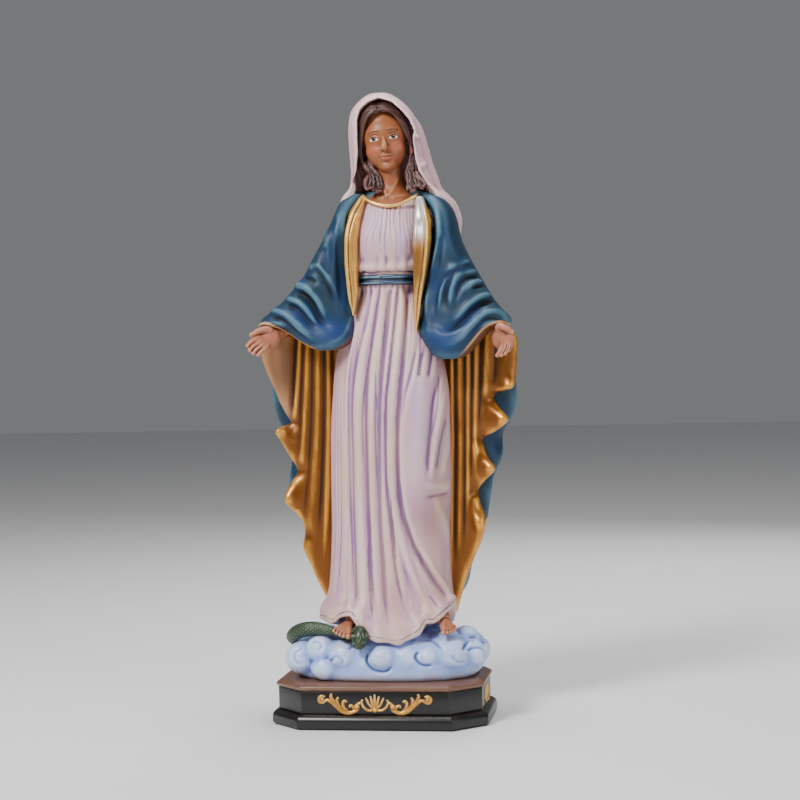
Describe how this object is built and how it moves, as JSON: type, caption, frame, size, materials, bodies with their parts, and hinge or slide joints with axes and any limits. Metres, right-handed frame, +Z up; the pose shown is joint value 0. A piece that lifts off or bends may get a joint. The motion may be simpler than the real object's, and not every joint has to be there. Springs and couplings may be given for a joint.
{
  "type": "madonna statue",
  "caption": "Painted resin statue of a veiled, robed woman with open hands, treading on a serpent over clouds on an octagonal plinth.",
  "frame": {"origin": "centre of the plinth's underside, on the felt", "axes": "+Z up, the figure faces -Y, and +X is towards the figure's own left hand"},
  "size_m": [0.1295, 0.0688, 0.3],
  "materials": {
    "felt": "matt black felt",
    "black_paint": "satin black paint on resin",
    "tan_paint": "satin tan-brown paint on resin",
    "gilt": "antique gold paint",
    "cloud_paint": "pale blue-white satin paint",
    "serpent_paint": "dark olive satin paint",
    "skin_paint": "satin skin paint",
    "gown_paint": "lavender-pink satin paint with a wash in the folds",
    "sash_paint": "dark teal paint with light edges",
    "mantle_paint": "teal-blue paint with light dry-brushed ridges",
    "lining_gold": "antique gold paint with a dark wash",
    "veil_paint": "pink-white paint with a lavender wash",
    "hair_paint": "dark red-brown paint",
    "steel": "zinc-plated steel"
  },
  "bodies": {
    "root": {"felt_pad": "felt", "plinth_foot": "black_paint", "plinth_body": "black_paint", "plinth_moulding": "tan_paint", "front_scroll_right": "gilt", "front_scroll_left": "gilt", "front_palmette": "gilt", "side_ornament_right": "gilt", "side_ornament_left": "gilt", "armature_rod": "steel", "fixing_washer": "steel", "fixing_nut": "steel", "cloud_base": "cloud_paint", "serpent": "serpent_paint", "right_foot": "skin_paint", "left_foot": "skin_paint", "gown_skirt": "gown_paint", "gown_bodice": "gown_paint", "sash": "sash_paint", "collar_band": "gilt", "right_lapel": "lining_gold", "left_lapel": "lining_gold", "mantle_back": "mantle_paint", "right_sleeve": "mantle_paint", "left_sleeve": "mantle_paint", "right_fall": "lining_gold", "left_fall": "lining_gold", "right_hand": "skin_paint", "left_hand": "skin_paint", "right_wrist_pin": "steel", "left_wrist_pin": "steel", "head": "skin_paint", "hair": "hair_paint", "veil": "veil_paint"}
  },
  "joints": []
}
